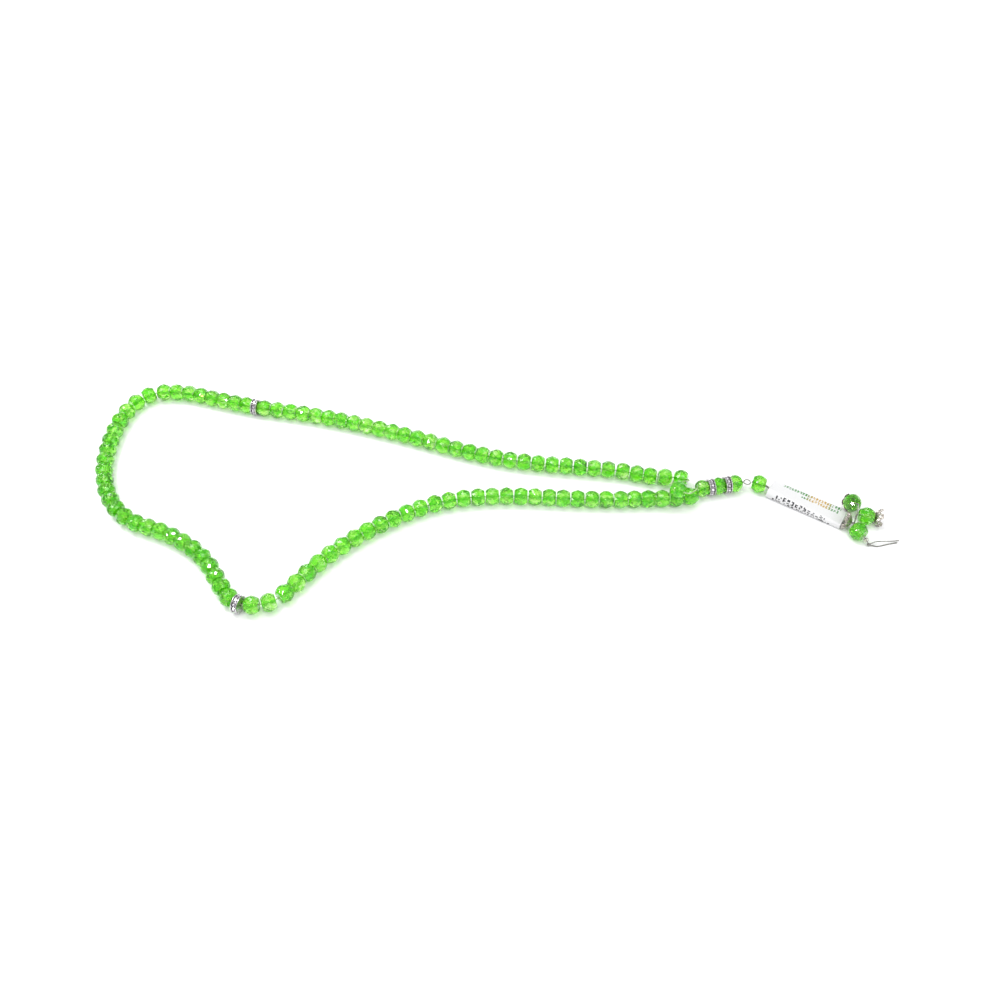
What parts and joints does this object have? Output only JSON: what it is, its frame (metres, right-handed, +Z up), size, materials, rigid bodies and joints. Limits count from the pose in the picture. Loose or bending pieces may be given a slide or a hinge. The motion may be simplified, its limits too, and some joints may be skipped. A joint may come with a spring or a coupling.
{
  "type": "prayer bead strand",
  "caption": "Misbaha prayer strand of faceted crystal rondelles in equal groups, with rhinestone spacers, a leader, a folded paper label and flower-capped end drops.",
  "frame": {"origin": "middle of the laid-out strand's bounding box, on the resting surface", "axes": "+X along the strand towards the pendant, +Y across it, +Z up"},
  "size_m": [0.3572, 0.13, 0.0158],
  "materials": {
    "green_crystal": "clear lime-green cut crystal with flat polished facets",
    "seed_glass": "clear small glass bead",
    "spacer_metal": "silver plated stamped metal",
    "clear_stone": "clear foil-backed rhinestone",
    "clear_thread": "clear elastic or nylon line",
    "flower_cap_metal": "antique silver stamped filigree",
    "label_paper": "glossy white sticker paper"
  },
  "bodies": {
    "junction": {"beads_top_end": "green_crystal", "beads_bottom_end": "green_crystal", "thread_top_end": "clear_thread", "thread_bottom_end": "clear_thread", "leader_knot": "clear_thread"},
    "top_near": {"beads_top_near": "green_crystal", "thread_top_near": "clear_thread"},
    "top_far": {"beads_top_far": "green_crystal", "thread_top_far": "clear_thread"},
    "left_top": {"beads_left_top": "green_crystal", "thread_left_top": "clear_thread"},
    "left_side": {"beads_left_side": "green_crystal", "thread_left_side": "clear_thread"},
    "left_bottom": {"beads_left_bottom": "green_crystal", "thread_left_bottom": "clear_thread"},
    "bottom_near": {"beads_bottom_near": "green_crystal", "thread_bottom_near": "clear_thread"},
    "bottom_far": {"beads_bottom_far": "green_crystal", "thread_bottom_far": "clear_thread"},
    "spacer_1": {"spacer_1_ring": "spacer_metal", "spacer_1_stones": "clear_stone"},
    "spacer_2": {"spacer_2_ring": "spacer_metal", "spacer_2_stones": "clear_stone"},
    "spacer_3": {"spacer_3_ring": "spacer_metal", "spacer_3_stones": "clear_stone"},
    "spacer_4": {"spacer_4_ring": "spacer_metal", "spacer_4_stones": "clear_stone"},
    "slider_bead": {"slider_bead": "green_crystal"},
    "leader_bead_1": {"leader_bead_1": "green_crystal"},
    "leader_bead_2": {"leader_bead_2": "green_crystal"},
    "leader_bead_3": {"leader_bead_3": "green_crystal"},
    "eye": {"eye_thread": "clear_thread"},
    "pendant": {"pendant_thread": "clear_thread", "pendant_knot": "clear_thread", "paper_label": "label_paper"},
    "pendant_bead": {"pendant_bead": "green_crystal"},
    "pendant_cap": {"pendant_cap": "flower_cap_metal"},
    "high_drop": {"high_thread": "clear_thread", "high_knot": "clear_thread"},
    "high_bead": {"high_bead": "green_crystal"},
    "high_cap": {"high_cap": "flower_cap_metal"},
    "side_drop": {"side_thread": "clear_thread", "side_knot": "clear_thread"},
    "side_bead": {"side_bead": "green_crystal"},
    "side_cap": {"side_cap": "flower_cap_metal"},
    "tail_drop": {"tail_thread": "clear_thread", "end_knot": "clear_thread", "thread_tails": "clear_thread"},
    "tail_bead": {"tail_bead": "green_crystal"},
    "seed_bead": {"seed_bead": "seed_glass"}
  },
  "joints": [
    {"name": "loop_spread", "type": "hinge", "parent": "junction", "child": "top_near", "pos_m": [0.06503, 0.00972, 0.004], "axis": [0, 0, 1], "range_deg": [-3.5, 3.5]},
    {"name": "bend_top", "type": "hinge", "parent": "top_near", "child": "top_far", "pos_m": [-0.02289, 0.02741, 0.004], "axis": [0, 0, 1], "range_deg": [-1.98, 1.98]},
    {"name": "bend_left_top", "type": "hinge", "parent": "top_far", "child": "left_top", "pos_m": [-0.11215, 0.05144, 0.004], "axis": [0, 0, 1], "range_deg": [-4.59, 4.59]},
    {"name": "bend_left_side", "type": "hinge", "parent": "left_top", "child": "left_side", "pos_m": [-0.17257, 0.04497, 0.004], "axis": [0, 0, 1], "range_deg": [-5.15, 5.15]},
    {"name": "bend_left_bottom", "type": "hinge", "parent": "left_side", "child": "left_bottom", "pos_m": [-0.15448, -0.0175, 0.004], "axis": [0, 0, 1], "range_deg": [-1.19, 1.19]},
    {"name": "bend_bottom_end", "type": "hinge", "parent": "junction", "child": "bottom_near", "pos_m": [0.06273, -0.00598, 0.004], "axis": [0, 0, 1], "range_deg": [-2.14, 2.14]},
    {"name": "bend_bottom", "type": "hinge", "parent": "bottom_near", "child": "bottom_far", "pos_m": [-0.02545, -0.00958, 0.004], "axis": [0, 0, 1], "range_deg": [-5.39, 5.39]},
    {"name": "spacer_1_spin", "type": "hinge", "parent": "top_far", "child": "spacer_1", "pos_m": [-0.11059, 0.05108, 0.004], "axis": [-0.975, 0.2223, 0], "continuous": true},
    {"name": "spacer_2_spin", "type": "hinge", "parent": "left_bottom", "child": "spacer_2", "pos_m": [-0.10001, -0.06056, 0.004], "axis": [0.9306, -0.366, 0], "continuous": true},
    {"name": "slider_slide", "type": "slide", "parent": "left_bottom", "child": "slider_bead", "axis": [0.9975, 0.0702, 0], "range_m": [0, 0.0002]},
    {"name": "leader_bead_1_spin", "type": "hinge", "parent": "junction", "child": "leader_bead_1", "pos_m": [0.09658, 0.00036, 0.004], "axis": [0.9829, 0.184, 0], "continuous": true},
    {"name": "spacer_3_spin", "type": "hinge", "parent": "junction", "child": "spacer_3", "pos_m": [0.10038, 0.00107, 0.004], "axis": [0.9829, 0.184, 0], "continuous": true},
    {"name": "leader_bead_2_spin", "type": "hinge", "parent": "junction", "child": "leader_bead_2", "pos_m": [0.10417, 0.00178, 0.004], "axis": [0.9829, 0.184, 0], "continuous": true},
    {"name": "spacer_4_spin", "type": "hinge", "parent": "junction", "child": "spacer_4", "pos_m": [0.10797, 0.00249, 0.004], "axis": [0.9829, 0.184, 0], "continuous": true},
    {"name": "leader_bead_3_spin", "type": "hinge", "parent": "junction", "child": "leader_bead_3", "pos_m": [0.11176, 0.0032, 0.004], "axis": [0.9829, 0.184, 0], "continuous": true},
    {"name": "pendant_lift", "type": "hinge", "parent": "junction", "child": "eye", "pos_m": [0.11488, 0.00379, 0.004], "axis": [0.1045, -0.9945, 0], "range_deg": [0, 60]},
    {"name": "pendant_swing", "type": "hinge", "parent": "eye", "child": "pendant", "pos_m": [0.11911, 0.00423, 0.004], "axis": [0, 0, 1], "range_deg": [-12, 12]},
    {"name": "pendant_bead_spin", "type": "hinge", "parent": "pendant", "child": "pendant_bead", "pos_m": [0.1224, 0.00304, 0.004], "axis": [0.9397, -0.342, 0], "continuous": true},
    {"name": "pendant_cap_spin", "type": "hinge", "parent": "pendant", "child": "pendant_cap", "pos_m": [0.15871, -0.01907, 0.0041], "axis": [0.8572, -0.515, 0], "continuous": true},
    {"name": "high_drop_swing", "type": "hinge", "parent": "pendant", "child": "high_drop", "pos_m": [0.15956, -0.01958, 0.0041], "axis": [0, 0, 1], "range_deg": [-3, 4]},
    {"name": "high_bead_spin", "type": "hinge", "parent": "high_drop", "child": "high_bead", "pos_m": [0.16113, -0.00888, 0.0052], "axis": [0, -0.7071, 0.7071], "continuous": true},
    {"name": "high_cap_spin", "type": "hinge", "parent": "high_drop", "child": "high_cap", "pos_m": [0.16113, -0.00888, 0.0052], "axis": [0, -0.7071, 0.7071], "continuous": true},
    {"name": "side_drop_swing", "type": "hinge", "parent": "pendant", "child": "side_drop", "pos_m": [0.15956, -0.01958, 0.0041], "axis": [0, 0, 1], "range_deg": [-15, 2]},
    {"name": "side_bead_spin", "type": "hinge", "parent": "side_drop", "child": "side_bead", "pos_m": [0.16603, -0.01538, 0.0041], "axis": [0.9848, -0.1736, 0], "continuous": true},
    {"name": "side_cap_spin", "type": "hinge", "parent": "side_drop", "child": "side_cap", "pos_m": [0.16603, -0.01538, 0.0041], "axis": [0.9848, -0.1736, 0], "continuous": true},
    {"name": "tail_drop_swing", "type": "hinge", "parent": "pendant", "child": "tail_drop", "pos_m": [0.15956, -0.01958, 0.0041], "axis": [0, 0, 1], "range_deg": [-10, 15]},
    {"name": "tail_bead_spin", "type": "hinge", "parent": "tail_drop", "child": "tail_bead", "pos_m": [0.16063, -0.02378, 0.004], "axis": [0.5446, -0.8387, 0], "continuous": true},
    {"name": "seed_bead_spin", "type": "hinge", "parent": "tail_drop", "child": "seed_bead", "pos_m": [0.16343, -0.02734, 0.00272], "axis": [0.546, -0.4066, -0.7325], "continuous": true}
  ],
  "couplings": [
    {"joint": "bend_top", "follows": "loop_spread", "ratio": -0.5532},
    {"joint": "bend_left_top", "follows": "loop_spread", "ratio": -1.2861},
    {"joint": "bend_left_side", "follows": "loop_spread", "ratio": 1.4423},
    {"joint": "bend_left_bottom", "follows": "loop_spread", "ratio": 0.3343},
    {"joint": "bend_bottom_end", "follows": "loop_spread", "ratio": -0.6},
    {"joint": "bend_bottom", "follows": "loop_spread", "ratio": 1.5093}
  ]
}
